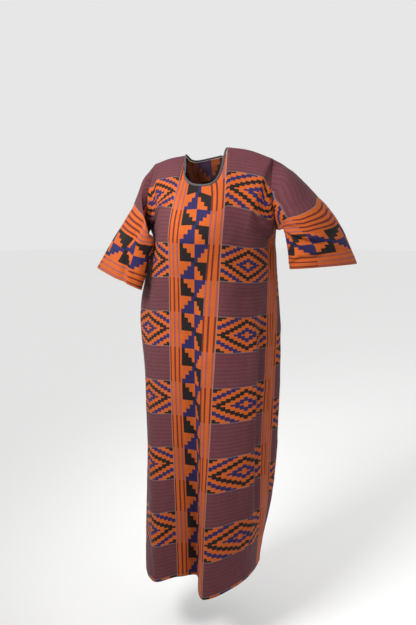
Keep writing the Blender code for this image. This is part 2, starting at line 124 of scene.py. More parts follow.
BACK_TOP = [
    ("under_l",     31.0, (19.7,  -3.0, -14.0), (31.0, 5.0),   (0.05, 0.0, 1.0)),
    ("arm_low_l",   34.5, (20.1,   1.0, -11.6), (34.6, 6.4),   (0.0, -0.1, 1.0)),
    ("arm_mid_l",   39.5, (19.2,   4.6, -3.0),  (39.0, 13.5),  (0.0, -0.3, 0.8)),
    ("shoulder_l",  46.0, (18.1,  -3.8,  6.3),  (41.4, 23.8),  (0.1, -0.7, 0.10)),
    ("ridge_l",     49.0, (11.8,  -2.6,  8.6),  (46.8, 25.1),  (0.05, -0.7, 0.12)),
    ("neck_l",      52.0, (5.6,   -1.4,  9.5),  (52.2, 26.4),  (0.0, -0.7, 0.15)),
    ("neck_q_l",    55.5, (5.2,    4.6,  7.5),  (54.4, 24.6),  (0.0, -0.7, 0.7)),
    ("neck_b",      60.0, (1.0,    7.0,  6.2),  (60.0, 23.6),  (0.0, -0.6, 0.8)),
    ("neck_q_r",    64.5, (-4.6,   6.2,  5.5),  (65.6, 24.6),  (0.0, -0.7, 0.7)),
    ("neck_r",      68.0, (-6.7,   1.4,  7.2),  (67.8, 26.4),  (0.0, -0.7, 0.15)),
    ("ridge_r",     71.0, (-11.1,  2.3,  6.4),  (73.2, 25.1),  (-0.05, -0.7, 0.12)),
    ("shoulder_r",  74.0, (-15.5,  3.2,  4.8),  (78.6, 23.8),  (-0.1, -0.7, 0.10)),
    ("arm_mid_r",   80.5, (-15.8, 10.2, -4.6),  (81.0, 13.5),  (-0.1, -0.3, 0.8)),
    ("arm_low_r",   85.5, (-16.9,  7.2, -11.4), (85.4, 6.4),   (0.0, -0.1, 1.0)),
    ("under_r",     89.0, (-16.8,  3.2, -14.0), (89.0, 5.0),   (-0.05, 0.0, 1.0)),
]
SLEEVE_R = [
    dict(along=0.12, under=(-17.6, -0.4, -15.4), top=(-18.0, 3.0, 1.6), front=(-18.5, -5.2, -6.8)),
    dict(along=0.40, under=(-16.1, -5.2, -17.8), top=(-22.3, 1.0, -7.8), front=(-17.9, -9.6, -12.2)),
    dict(along=0.68, under=(-16.5, -6.4, -22.6), top=(-27.3, 0.6, -16.0), front=(-21.6, -9.8, -18.6)),
    dict(along=1.00, under=(-19.1, -7.0, -31.0), top=(-33.3, 3.2, -25.6), front=(-25.7, -8.6, -27.7)),
]
SLEEVE_L = [
    dict(along=0.12, under=(20.4, -4.4, -13.7), top=(22.2, -3.6, 4.0), front=(20.4, -11.0, -4.8)),
    dict(along=0.36, under=(21.4, -7.0, -13.6), top=(30.2, -2.0, -2.9), front=(25.2, -12.2, -7.6)),
    dict(along=0.70, under=(22.5, -9.0, -18.6), top=(38.2, -1.0, -12.4), front=(30.4, -12.6, -14.4)),
    dict(along=1.00, under=(23.2, -10.0, -24.6), top=(43.8, 0.0, -24.1), front=(34.6, -10.6, -23.8)),
]

# ---- folds, placed in the flat cloth (cm, v up from the bust line; on a sleeve u is degrees round from under
# the arm by way of the front, and v is cm above its hem). side: "out" is a ridge, "in" a trough, "step" a ridge with
# a trough beside it. deep in mm, wide in cm, bow bends the line sideways (cm), fade is how far each end takes to die
FOLDS = dict(
    front=[
        dict(a=(-11.0, 11.8), b=(-26.0, 6.3), side="step", deep=-5.0, wide=1.0, bow=-0.5, fade=3.5),    # bust to armpit
        dict(a=(-13.5, 8.0), b=(-24.5, 3.0), side="out", deep=2.5, wide=1.6, bow=-0.6, fade=4.0),
        dict(a=(-27.0, 2.0), b=(-20.0, -16.0), side="in", deep=3.0, wide=2.2, bow=1.2, fade=6.0),
        dict(a=(17.5, 10.5), b=(28.0, 4.0), side="step", deep=4.0, wide=1.1, bow=0.6, fade=3.0),        # bust to armpit
        dict(a=(20.0, 7.0), b=(28.5, 1.5), side="step", deep=4.5, wide=1.2, bow=0.8, fade=3.0),
        dict(a=(24.5, 3.5), b=(29.0, -6.0), side="in", deep=4.0, wide=1.5, bow=0.8, fade=4.0),
        dict(a=(20.0, -22.0), b=(19.6, -90.0), side="out", deep=7.0, wide=2.2, bow=0.2, fade=14.0),     # right hip down
        dict(a=(21.4, -26.0), b=(21.0, -92.0), side="step", deep=-6.0, wide=0.8, bow=0.2, fade=10.0),
        dict(a=(24.6, -20.0), b=(24.8, -84.0), side="in", deep=6.0, wide=1.3, bow=-0.4, fade=12.0),
        dict(a=(28.6, -26.0), b=(29.2, -84.0), side="out", deep=4.0, wide=1.6, bow=0.3, fade=14.0),
        dict(a=(19.8, -51.0), b=(20.6, -66.0), side="in", deep=1.6, wide=0.7, bow=0.1, fade=5.0),
        dict(a=(-15.0, -52.0), b=(-13.0, -92.0), side="out", deep=5.0, wide=5.0, bow=0.5, fade=16.0),   # over the legs
        dict(a=(-24.0, -30.0), b=(-22.5, -84.0), side="in", deep=4.0, wide=2.4, bow=-0.8, fade=18.0),
        dict(a=(-28.0, -46.0), b=(-27.0, -104.0), side="out", deep=4.0, wide=2.2, bow=0.4, fade=16.0),
        dict(a=(12.5, -56.0), b=(13.5, -92.0), side="out", deep=5.0, wide=4.6, bow=-0.4, fade=16.0),
        dict(a=(-9.5, -6.0), b=(-11.5, -34.0), side="in", deep=2.0, wide=2.6, bow=0.6, fade=12.0),      # below the bust
        dict(a=(9.0, -8.0), b=(7.5, -30.0), side="in", deep=1.6, wide=2.4, bow=-0.5, fade=10.0),
        dict(a=(-20.0, -12.0), b=(-11.0, -17.0), side="step", deep=1.6, wide=1.3, bow=0.5, fade=4.0),   # waist
        dict(a=(-21.5, -19.0), b=(-13.5, -21.5), side="in", deep=1.4, wide=1.2, bow=0.4, fade=3.5),
        dict(a=(13.0, -15.0), b=(24.0, -12.0), side="in", deep=2.2, wide=1.4, bow=-0.7, fade=4.5),
        dict(a=(15.5, -20.5), b=(24.5, -19.0), side="step", deep=1.8, wide=1.1, bow=-0.5, fade=4.0),
        dict(a=(-18.5, 17.0), b=(-12.5, 22.5), side="in", deep=1.0, wide=1.4, bow=0.4, fade=3.0),       # shoulders
        dict(a=(12.0, 14.0), b=(19.5, 19.0), side="out", deep=1.4, wide=1.5, bow=-0.5, fade=3.5),
        dict(a=(-21.5, -88.0), b=(-18.0, -103.8), side="in", deep=3.0, wide=1.8, bow=0.3, fade=7.0),    # hem
        dict(a=(17.0, -90.0), b=(19.0, -103.8), side="in", deep=3.0, wide=2.0, bow=-0.3, fade=7.0),
        dict(a=(-5.5, -70.0), b=(-5.0, -103.8), side="out", deep=2.0, wide=1.8, bow=0.2, fade=9.0),
    ],
    back=[
        dict(a=(41.0, 8.0), b=(38.5, -60.0), side="in", deep=6.0, wide=2.8, bow=-1.0, fade=16.0),
        dict(a=(46.0, -4.0), b=(44.0, -103.8), side="out", deep=5.0, wide=3.4, bow=0.8, fade=20.0),
        dict(a=(50.5, 4.0), b=(51.5, -48.0), side="in", deep=5.0, wide=2.6, bow=0.7, fade=15.0),
        dict(a=(53.0, -30.0), b=(54.0, -103.8), side="in", deep=7.0, wide=3.0, bow=-0.9, fade=18.0),
        dict(a=(59.0, 2.0), b=(60.0, -90.0), side="out", deep=5.0, wide=3.6, bow=0.6, fade=22.0),
        dict(a=(64.5, -18.0), b=(65.5, -103.8), side="in", deep=7.0, wide=2.6, bow=0.8, fade=18.0),
        dict(a=(69.0, 6.0), b=(71.0, -40.0), side="in", deep=4.5, wide=2.4, bow=-0.6, fade=14.0),
        dict(a=(73.0, -26.0), b=(74.0, -103.8), side="out", deep=5.0, wide=3.0, bow=0.5, fade=18.0),
        dict(a=(79.0, 4.0), b=(80.5, -76.0), side="in", deep=6.0, wide=2.8, bow=0.9, fade=18.0),
        dict(a=(84.5, -34.0), b=(85.0, -103.8), side="out", deep=4.0, wide=2.2, bow=-0.4, fade=16.0),
        dict(a=(35.5, -20.0), b=(35.0, -88.0), side="out", deep=4.0, wide=2.2, bow=0.4, fade=18.0),
        dict(a=(36.5, 5.5), b=(46.5, 11.0), side="step", deep=2.6, wide=1.4, bow=0.7, fade=3.5),
        dict(a=(83.5, 5.5), b=(74.0, 10.0), side="step", deep=-2.4, wide=1.4, bow=-0.6, fade=3.5),
        dict(a=(48.0, 17.5), b=(70.5, 17.0), side="in", deep=2.0, wide=2.0, bow=1.2, fade=6.0),
        dict(a=(54.0, 22.0), b=(66.0, 21.8), side="in", deep=1.2, wide=1.1, bow=0.9, fade=3.5),
        dict(a=(42.5, -14.0), b=(56.0, -17.5), side="in", deep=2.4, wide=1.8, bow=-0.9, fade=5.0),
        dict(a=(66.0, -19.0), b=(79.0, -15.0), side="in", deep=2.0, wide=1.7, bow=-0.8, fade=5.0),
    ],
    sleeve_right=[
        dict(a=(105.0, 19.0), b=(76.0, -1.0), side="in", deep=9.0, wide=1.0, bow=0.3, fade=4.0),        # the long crease
        dict(a=(92.0, 17.0), b=(62.0, -1.0), side="out", deep=3.5, wide=1.3, bow=0.3, fade=5.0),
        dict(a=(124.0, 20.0), b=(98.0, -1.0), side="out", deep=2.5, wide=1.4, bow=-0.3, fade=6.0),
        dict(a=(52.0, 20.0), b=(38.0, 6.0), side="in", deep=2.5, wide=1.4, bow=0.5, fade=5.0),
        dict(a=(16.0, 21.0), b=(34.0, 12.0), side="out", deep=8.0, wide=2.0, bow=0.3, fade=4.0),        # over the armpit
        dict(a=(230.0, 18.0), b=(224.0, -1.0), side="in", deep=5.0, wide=2.0, bow=0.4, fade=7.0),
        dict(a=(285.0, 14.0), b=(278.0, -1.0), side="in", deep=4.0, wide=1.8, bow=-0.4, fade=6.0),
        dict(a=(60.0, 22.0), b=(100.0, 25.0), side="in", deep=2.0, wide=1.1, bow=0.5, fade=3.0),
        dict(a=(330.0, 17.0), b=(20.0, 15.0), side="step", deep=2.5, wide=1.2, bow=0.4, fade=3.0),
        dict(a=(160.0, 22.0), b=(215.0, 19.0), side="in", deep=1.5, wide=1.6, bow=0.5, fade=4.0),
    ],
    sleeve_left=[
        dict(a=(8.0, 12.6), b=(95.0, 8.5), side="step", deep=9.0, wide=1.1, bow=-1.2, fade=3.0),        # bent elbow
        dict(a=(90.0, 8.6), b=(142.0, 13.4), side="in", deep=3.0, wide=1.1, bow=-0.5, fade=4.0),
        dict(a=(18.0, 11.0), b=(68.0, 4.2), side="step", deep=8.0, wide=0.9, bow=-0.4, fade=3.0),
        dict(a=(5.0, 1.6), b=(84.0, 4.0), side="step", deep=4.0, wide=0.9, bow=0.5, fade=3.0),
        dict(a=(84.0, 4.4), b=(132.0, 4.6), side="in", deep=2.0, wide=1.0, bow=0.3, fade=3.0),
        dict(a=(4.0, 14.6), b=(60.0, 13.0), side="step", deep=4.0, wide=1.1, bow=-0.8, fade=3.5),
        dict(a=(20.0, 7.6), b=(46.0, 2.4), side="in", deep=3.0, wide=0.9, bow=-0.3, fade=2.5),
        dict(a=(70.0, 19.0), b=(88.0, 10.5), side="out", deep=2.0, wide=1.6, bow=0.3, fade=4.0),
        dict(a=(232.0, 16.0), b=(226.0, -1.0), side="in", deep=5.0, wide=2.0, bow=0.4, fade=6.0),
        dict(a=(284.0, 15.0), b=(280.0, -1.0), side="out", deep=4.0, wide=2.0, bow=0.4, fade=6.0),
        dict(a=(318.0, 13.0), b=(322.0, -1.0), side="in", deep=5.0, wide=1.6, bow=-0.3, fade=5.0),
        dict(a=(150.0, 24.0), b=(196.0, 21.0), side="in", deep=1.4, wide=1.5, bow=0.5, fade=3.5),
    ],
)
SIDE_DRAWN = 0.8     # cm that the print lies further round on the wearer's right side
# cloth taken up in a fold of a panel: on the far side of the line the print is shifted by "hide" cm, back over "reach"
TUCKS = dict(
    front=[dict(a=(-11.5, 12.4), b=(-26.5, 7.2), bow=-0.5, hide=1.5, reach=3.6, fade=4.0),
           dict(a=(18.0, 10.6), b=(28.5, 4.5), bow=0.6, hide=-1.3, reach=3.2, fade=3.0)])
# how the print lies round a sleeve: at heights above the hem (cm), degrees round from under the arm by way of the
# front, and the number of blocks of the print there. Two close degrees with unlike blocks are a deep crease
PRINT_ROUND = dict(
    sleeve_right=[
        dict(above=0.0, degrees=(0, 30, 74, 77, 112, 157, 360), blocks=(-1.95, -1.50, -1.00, -0.98, -0.55, 0.0, 2.5)),
        dict(above=6.0, degrees=(0, 30, 80, 84, 108, 150, 360), blocks=(-1.95, -1.50, -1.00, -0.78, -0.50, 0.0, 2.5)),
        dict(above=13.0, degrees=(0, 34, 97, 101, 128, 162, 360), blocks=(-1.95, -1.50, -0.97, -0.52, -0.27, 0.0, 2.5)),
        dict(above=18.5, degrees=(0, 36, 101, 105, 134, 172, 360), blocks=(-2.0, -1.55, -1.02, -0.90, -0.48, 0.0, 2.4)),
        dict(above=26.0, degrees=(0, 36, 88, 92, 134, 194, 360), blocks=(-2.0, -1.55, -1.02, -0.99, -0.48, 0.0, 2.4))],
    sleeve_left=[
        dict(above=0.0, degrees=(0, 20, 70, 112, 155, 250, 360), blocks=(-1.9, -1.6, -1.0, -0.5, 0.0, 1.35, 2.9)),
        dict(above=6.5, degrees=(0, 20, 76, 111, 156, 250, 360), blocks=(-1.9, -1.6, -1.0, -0.5, 0.0, 1.35, 2.9)),
        dict(above=12.0, degrees=(0, 18, 62, 102, 149, 250, 360), blocks=(-1.9, -1.6, -1.0, -0.5, 0.0, 1.40, 2.9)),
        dict(above=16.0, degrees=(0, 18, 56, 100, 149, 250, 360), blocks=(-1.9, -1.6, -1.0, -0.5, 0.0, 1.45, 2.9)),
        dict(above=22.7, degrees=(0, 26, 78, 112, 154, 250, 360), blocks=(-1.9, -1.6, -1.0, -0.5, 0.0, 1.35, 2.9)),
        dict(above=30.7, degrees=(0, 40, 104, 136, 172, 255, 360), blocks=(-1.9, -1.6, -1.0, -0.5, 0.0, 1.20, 2.9)),
        dict(above=40.0, degrees=(0, 50, 122, 158, 196, 270, 360), blocks=(-1.9, -1.6, -1.0, -0.5, 0.0, 1.10, 2.9))])
# cloth bunched along a sleeve: centimetres of cloth to one of the sleeve's length, by degrees round
PRINT_ALONG = dict(
    sleeve_right=dict(degrees=(0, 20, 80, 105, 165, 270, 360), cloth=(0.95, 0.95, 1.05, 0.98, 0.89, 0.95, 0.95)),
    sleeve_left=dict(degrees=(0, 35, 75, 100, 150, 270, 360), cloth=(1.20, 1.28, 1.22, 1.10, 0.90, 1.02, 1.20)))
# over the bent elbow the cloth is drawn tight: the print there is moved along the sleeve (cm), by height above the hem
DRAWN = dict(above=(0.0, 5.0, 13.3, 23.2, 30.0, 40.0), cm=(0.0, 0.3, 0.8, -0.9, -1.1, -1.1),
             degrees=(85, 135, 170, 230), share=(0.0, 1.0, 1.0, 0.0))


# ---- the form ----
def curve(knots, rows, x, period=None):
    """Smooth curve that passes through the rows at the knots; with a period it closes on itself."""
    knots, rows, x = np.asarray(knots, float), np.asarray(rows, float), np.asarray(x, float)
    if period:
        knots = np.concatenate([[knots[-1] - period], knots, [knots[0] + period, knots[1] + period]])
        rows = np.concatenate([rows[-1:], rows, rows[:2]])
    step = np.diff(knots).reshape((-1,) + (1,) * (rows.ndim - 1))
    slope = np.diff(rows, axis=0) / step
    tangent = np.empty_like(rows)
    tangent[1:-1] = (slope[:-1] * step[1:] + slope[1:] * step[:-1]) / (step[1:] + step[:-1])
    tangent[0], tangent[-1] = slope[0], slope[-1]
    i = np.clip(np.searchsorted(knots, x, side="right") - 1, 0, len(knots) - 2)
    t = (x - knots[i]) / (knots[i + 1] - knots[i])
    t = t.reshape(t.shape + (1,) * (rows.ndim - 1))
    h = step[i].reshape(t.shape)
    return blend(t, rows[i], rows[i + 1], h * tangent[i], h * tangent[i + 1])


def blend(t, start, end, leave, arrive):
    return ((1 + 2 * t) * (1 - t) ** 2 * start + t * (1 - t) ** 2 * leave
            + t * t * (3 - 2 * t) * end + t * t * (t - 1) * arrive)


def skirt(s, down):
    """Points of the skirt (across, deep, high), one row for each value of down and one column for each s."""
    s = (np.asarray(s, float) + FRONT_HALF + 1e-9) % ROUND - FRONT_HALF
    names = sorted(LEVEL, key=STATION.get)
    rings = []
    for i, row in enumerate(SECTION):
        plan = curve(list(STATION.values()), np.array([row[n] for n in STATION]) / 100, s, ROUND)
        high = curve([STATION[n] for n in names], np.array([LEVEL[n][i] for n in names]) / 100, s, ROUND)
        rings.append(np.column_stack([plan, high]))
    return curve([row["down"] / 100 for row in SECTION], np.array(rings), np.atleast_1d(down))


def edge(rows, column, s):
    """Smooth along an edge table between its corners, the shoulder and neck points."""
    knots = np.array([row[1] for row in rows]) / 100
    values = np.array([row[column] for row in rows], float)
    corners = [i for i, row in enumerate(rows) if row[0][:-2] in ("under", "shoulder", "neck") and row[0] != "neck_c"
               and row[0] != "neck_b"]
    out = np.zeros(s.shape + values.shape[1:])
    for a, b in zip(corners[:-1], corners[1:]):
        at = (s >= knots[a] - 1e-9) & (s <= knots[b] + 1e-9)
        out[at] = curve(knots[a:b + 1], values[a:b + 1], s[at])
    return out


def bodice(rows, s, t):
    """Points above the bust line and their flat places: t is 0 on that line and 1 on the panel's top edge."""
    end = edge(rows, 2, s) / 100
    lean = curve(np.array([row[1] for row in rows]) / 100, np.array([row[4] for row in rows]), s)
    start = skirt(s, 0.0)[0]
    leave = (start - skirt(s, 0.02)[0]) / 0.02
    span = np.linalg.norm(end - start, axis=-1, keepdims=True)
    t = np.asarray(t, float)[:, None, None]
    flat_start, flat_end = np.column_stack([s, 0 * s]), edge(rows, 3, s) / 100
    return (blend(t, start[None], end[None], (span * leave)[None], (span * lean)[None]),
            flat_start[None] + (flat_end - flat_start)[None] * t + np.array([0.0, YOKE_EASE]) * t ** 3 * (1 - t))


def sleeve(armhole, rows, w):
    """Rings of a sleeve at the ways w, from the armhole's points, which run under the arm, front, top, back."""
    turn = 2 * np.pi * np.arange(len(armhole))[:, None] / len(armhole)
    rings = [armhole]
    for row in rows:
        under, top, front = (np.array(row[k]) / 100 for k in ("under", "top", "front"))
        middle = (under + top) / 2
        rings.append(middle + np.cos(turn) * (under - middle) + np.sin(turn) * (front - middle))
    return curve([0.0] + [row["along"] for row in rows], np.array(rings), np.asarray(w, float))


def place(points):
    """From the tables' (across, deep, high) to the dress's own axes."""
    across, deep, high = points[..., 0] + SHIFT, points[..., 1], points[..., 2]
    return np.stack([across * np.cos(TURN) - deep * np.sin(TURN), across * np.sin(TURN) + deep * np.cos(TURN),
                     high - NECK_HIGH], -1)


# ---- grids: rows down and columns round, with two close rows or columns beside each seam ----
def columns(rows, neck_columns):
    at = {row[0]: row[1] / 100 for row in rows}
    first, last = rows[0][0][-1], rows[-1][0][-1]
    stops = [("under_" + first, "shoulder_" + first, COLS_ARM), ("shoulder_" + first, "neck_" + first, COLS_SHOULDER),
             ("neck_" + first, "neck_" + last, neck_columns), ("neck_" + last, "shoulder_" + last, COLS_SHOULDER),
             ("shoulder_" + last, "under_" + last, COLS_ARM)]
    parts = [np.linspace(at[a], at[b], n, endpoint=False) for a, b, n in stops]
    s = np.concatenate(parts + [[at["under_" + last]]])
    s[1], s[-2] = s[0] + 0.0022, s[-1] - 0.0022
    return s


def panel(rows, neck_columns):
    s = columns(rows, neck_columns)
    t = np.linspace(1.0, 0.0, ROWS_TOP, endpoint=False)
    t[1] = 1.0 - 0.45 * (t[0] - t[1])
    down = np.linspace(0.0, HEM_DOWN, ROWS_SKIRT + 1)
    top, flat = bodice(rows, s, t)
    low = skirt(s, down)
    flat_low = np.stack(np.broadcast_arrays(s[None], -down[:, None]), -1)
    return place(np.concatenate([top, low])), np.concatenate([flat, flat_low])


def armholes():
    a = COLS_ARM
    one = np.ones(1)
    f_top = bodice(FRONT_TOP, columns(FRONT_TOP, COLS_NECK_FRONT), one)[0][0]
    b_top = bodice(BACK_TOP, columns(BACK_TOP, COLS_NECK_BACK), one)[0][0]
    return (np.concatenate([f_top[:a], b_top[::-1][a:0:-1]]), np.concatenate([f_top[::-1][:a], b_top[a:0:-1]]))


def sleeve_grid(armhole, rows):
    """Sleeve points, with (degrees round, metres above the hem) of each, and the length of each ring."""
    w = np.linspace(0.0, 1.0, ROWS_SLEEVE + 1)
    w[1] = 0.4 * w[1]
    grid = place(sleeve(armhole, rows, w))
    steps = np.linalg.norm(np.diff(grid, axis=0), axis=-1)
    above = np.concatenate([np.cumsum(steps[::-1], axis=0)[::-1], np.zeros((1, grid.shape[1]))])
    degrees = np.broadcast_to(360.0 * np.arange(grid.shape[1]) / grid.shape[1], above.shape)
    girth = np.linalg.norm(grid - np.roll(grid, 1, 1), axis=-1).sum(1)
    return grid, np.stack([degrees, above], -1), girth


def grid_normals(grid, closed):
    """Outward normal at each point of a grid whose rows run down."""
    down = np.gradient(grid, axis=0)
    across = (np.roll(grid, -1, 1) - np.roll(grid, 1, 1)) / 2 if closed else np.gradient(grid, axis=1)
    normal = np.cross(down, across)
    return normal / np.maximum(np.linalg.norm(normal, axis=-1, keepdims=True), 1e-12)


# ---- folds ----
def from_line(flat, a, b, bow):
    """How far along a bowed line from a to b each flat place is (0 to 1), how far to its side, and its length."""
    a, b = np.array(a, float), np.array(b, float)
    length = np.linalg.norm(b - a)
    way = (b - a) / length
    side = np.array([-way[1], way[0]])
    x = (flat - a) @ way / length
    bend = bow * 4 * np.clip(x, 0, 1) * (1 - np.clip(x, 0, 1))
    return x, (flat - a) @ side - bend, length


def ease(x):
    x = np.clip(x, 0.0, 1.0)
    return x * x * (3 - 2 * x)


def fold_height(flat, folds):
    """Height in metres of the folds over the form, at flat places in cm."""
    height = np.zeros(flat.shape[:-1])
    for n, fold in enumerate(folds):
        x, side, length = from_line(flat, fold["a"], fold["b"], fold["bow"])
        ends = ease(x * length / fold["fade"] + 0.5) * ease((1 - x) * length / fold["fade"] + 0.5)
        width = fold["wide"] * (1 + 0.25 * np.sin(5.1 * x + 1.7 * n))
        y = side / width
        kind = fold["side"]
        shape = np.exp(-y * y) if kind != "step" else y * np.exp(-y * y) * 1.9
        height += (-1 if kind == "in" else 1) * fold["deep"] / 1000 * shape * ends
    return height


def ripple(flat, seed, strength=1.0):
    """Soft uneven waves of the whole cloth, about a millimetre."""
    rng = np.random.default_rng(seed)
    height = np.zeros(flat.shape[:-1])
    for _ in range(9):
        long, turn, phase = rng.uniform(7.0, 22.0), rng.uniform(-0.5, 0.5), rng.uniform(0, 2 * np.pi)
        height += np.sin(2 * np.pi / long * (flat[..., 0] * np.cos(turn) + 0.45 * flat[..., 1] * np.sin(turn + 0.3))
                         + phase) * long / 22.0
    crumple = np.zeros(flat.shape[:-1])
    for _ in range(16):
        long, turn, phase = rng.uniform(2.6, 6.5), rng.uniform(-1.1, 1.1), rng.uniform(0, 2 * np.pi)
        crumple += np.sin(2 * np.pi / long * (flat[..., 0] * np.cos(turn) + flat[..., 1] * np.sin(turn)) + phase) * long / 6.5
    patch = 0.6 + 0.4 * np.sin(flat[..., 0] * 0.31 + seed) * np.sin(flat[..., 1] * 0.17 + 2.0 * seed)
    return 0.0006 * strength * height + 0.00019 * crumple * patch


def near_edge(grid, closed, skip_last=True):
    """0 on the sewn edges of a piece, 1 well inside it."""
    rows, cols = grid.shape[:2]
    down = np.concatenate([np.zeros((1, cols)), np.cumsum(np.linalg.norm(np.diff(grid, axis=0), axis=-1), axis=0)])
    near = down.copy()
    if not closed:
        step = np.linalg.norm(np.diff(grid, axis=1), axis=-1)
        right = np.concatenate([np.zeros((rows, 1)), np.cumsum(step, axis=1)], axis=1)
        near = np.minimum(near, np.minimum(right, right[:, -1:] - right))
    return near


def shrink_edges(pieces):
    """Draws each piece back from its neighbours' edges, so that the walls stay just apart."""
    moved, spots = {}, {}
    for name, (grid, closed) in pieces.items():
        normal = grid_normals(grid, closed)
        moved[name] = grid.copy()
        rows, cols = grid.shape[:2]
        rim = [(0, j, 1, j, (0, (j + 1) % cols), (0, (j - 1) % cols)) for j in range(cols)]
        if not closed:
            rim = rim[1:-1]
            for j, j2 in ((0, 1), (cols - 1, cols - 2)):
                rim += [(i, j, i, j2, (min(i + 1, rows - 1), j), (max(i - 1, 0), j)) for i in range(rows)]
            rim += [(0, 0, 1, 0, (0, 1), (0, 0)), (0, cols - 1, 1, cols - 1, (0, cols - 1), (0, cols - 2))]
        for i, j, i2, j2, after, before in rim:
            seam = grid[after] - grid[before]
            seam /= np.linalg.norm(seam)
            inward = grid[i2, j2] - grid[i, j]
            inward -= inward @ seam * seam
            inward /= np.linalg.norm(inward)
            spots.setdefault(tuple(np.round(grid[i, j] * SAME_POINT)), []).append((name, i, j, inward, normal[i, j]))
    for found in spots.values():
        for name, i, j, inward, normal in found:
            pull = SEAM_GAP / 2
            for other, _, _, theirs, their_normal in found:
                if other != name:
                    fall = max(0.0, -float(normal @ theirs))
                    pull = max(pull, SEAM_GAP / 2 + 1.2 * WALL * fall / max(1.0 + float(normal @ their_normal), 0.5))
            if len({other for other, *_ in found}) > 1 or i == 0:
                moved[name][i, j] += pull * inward
    return moved


# ---- materials: numbers worked out in the node tree ----
class Number:
    """A number in a material's node tree, with the usual arithmetic."""
    tree = None

    def __init__(self, out):
        self.out = out

    @staticmethod
    def of(kind, *values):
        node = Number.tree.nodes.new("ShaderNodeMath")
        node.operation = kind
        for i, value in enumerate(values):
            if isinstance(value, Number):
                Number.tree.links.new(value.out, node.inputs[i])
            else:
                node.inputs[i].default_value = value
        return Number(node.outputs[0])

    def __add__(self, other): return Number.of("ADD", self, other)
    def __radd__(self, other): return Number.of("ADD", other, self)
    def __sub__(self, other): return Number.of("SUBTRACT", self, other)
    def __rsub__(self, other): return Number.of("SUBTRACT", other, self)
    def __mul__(self, other): return Number.of("MULTIPLY", self, other)
    def __rmul__(self, other): return Number.of("MULTIPLY", other, self)
    def __truediv__(self, other): return Number.of("DIVIDE", self, other)
    def __neg__(self): return Number.of("MULTIPLY", self, -1.0)
    def __gt__(self, other): return Number.of("GREATER_THAN", self, other)
    def __lt__(self, other): return Number.of("LESS_THAN", self, other)
    def floor(self): return Number.of("FLOOR", self)
    def abs(self): return Number.of("ABSOLUTE", self)
    def part(self): return Number.of("FRACT", self)
    def wrap(self, by): return Number.of("FLOORED_MODULO", self, by)
    def sin(self): return Number.of("SINE", self)


def both(*conditions):
    out = conditions[0]
    for c in conditions[1:]:
        out = out * c
    return out


def either(*conditions):
    out = conditions[0]
    for c in conditions[1:]:
        out = Number.of("MAXIMUM", out, c)
    return out


def band(x, low, high):
    return both(x > low, x < high)


def paint(factor, under, over):
    """Colour socket: over where factor is 1, under where it is 0. Either may be a socket or three numbers."""
    node = Number.tree.nodes.new("ShaderNodeMix")
    node.data_type = "RGBA"
    node.clamp_factor = True
    for value, name in ((under, "A"), (over, "B")):
        socket = next(s for s in node.inputs if s.name == name and s.type == "RGBA")
        if isinstance(value, bpy.types.NodeSocket):
            Number.tree.links.new(value, socket)
        else:
            socket.default_value = (*value, 1.0)
    if isinstance(factor, Number):
        Number.tree.links.new(factor.out, node.inputs[0])
    else:
        node.inputs[0].default_value = factor
    return next(s for s in node.outputs if s.type == "RGBA")


def shade(colour, factor):
    """Colour times a number."""
    node = Number.tree.nodes.new("ShaderNodeVectorMath")
    node.operation = "SCALE"
    Number.tree.links.new(colour, node.inputs[0])
    Number.tree.links.new(factor.out, node.inputs["Scale"])
    return node.outputs[0]


def linear(red, green, blue):
    """sRGB 0 to 255 as linear 0 to 1."""
    c = np.array([red, green, blue]) / 255.0
    return tuple(float(x) for x in np.where(c <= 0.04045, c / 12.92, ((c + 0.055) / 1.055) ** 2.4))


ORANGE, INDIGO, BLACK = linear(232, 109, 40), linear(55, 46, 101), linear(42, 32, 32)
MAUVE, MAUVE_DARK = linear(126, 69, 77), linear(84, 42, 48)
PALE_LINE, DARK_LINE, WHITE_LINE = linear(178, 98, 98), linear(128, 50, 40), linear(170, 142, 128)
GREY_LINE = linear(150, 132, 126)
CLOTH_TONE = 0.43             # the colours above are as seen in strong light
THREAD = linear(96, 52, 34)
CHARCOAL = linear(58, 54, 56)

# the border's stripes from the motif (0) to the block (1): the lines are what isn't orange
BORDER_R = dict(lines=[(0.122, 0.244), (0.460, 0.595), (0.825, 0.932)], white=0.962)
BORDER_L = dict(lines=[(-0.01, 0.14), (0.35, 0.48), (0.77, 0.90)], white=0.958)
SIDE_BAND = dict(lines=[(0.10, 0.22), (0.42, 0.54), (0.78, 0.90)], white=0.97)
SLEEVE_HEM = dict(lines=[(0.10, 0.20), (0.42, 0.52), (0.76, 0.86)], white=2.0)
SLEEVE_UPPER = dict(lines=[(0.09, 0.17), (0.29, 0.38), (0.50, 0.59), (0.72, 0.80)], white=0.975)


def border(t, chart, pale):
    """Stripes of a border: t across it, pale is 1 where its lines are the light ones."""
    colour = ORANGE
    line = either(*[band(t, low, high) for low, high in chart["lines"]])
    colour = paint(line, colour, paint(pale, DARK_LINE, PALE_LINE))
    return paint(t > chart["white"], colour, WHITE_LINE)


def motif(left, x, half, y):
    """Stepped squares: x and y 0 to 1 in the square, half 0 or 1, left 1 in the first column."""
    step = (y * 4.0).floor()
    falling = (3.0 - step) / 4.0
    rising = step / 4.0
    second = half
    first = 1.0 - half
    right = 1.0 - left
    orange = either(both(left, first, x > (1.0 - falling)), both(left, second, x < falling),
                    both(right, first, x > (1.0 - rising)), both(right, second, x < rising))
    indigo = either(both(left, second), both(right, first))
    return paint(orange, paint(indigo, BLACK, INDIGO), ORANGE)


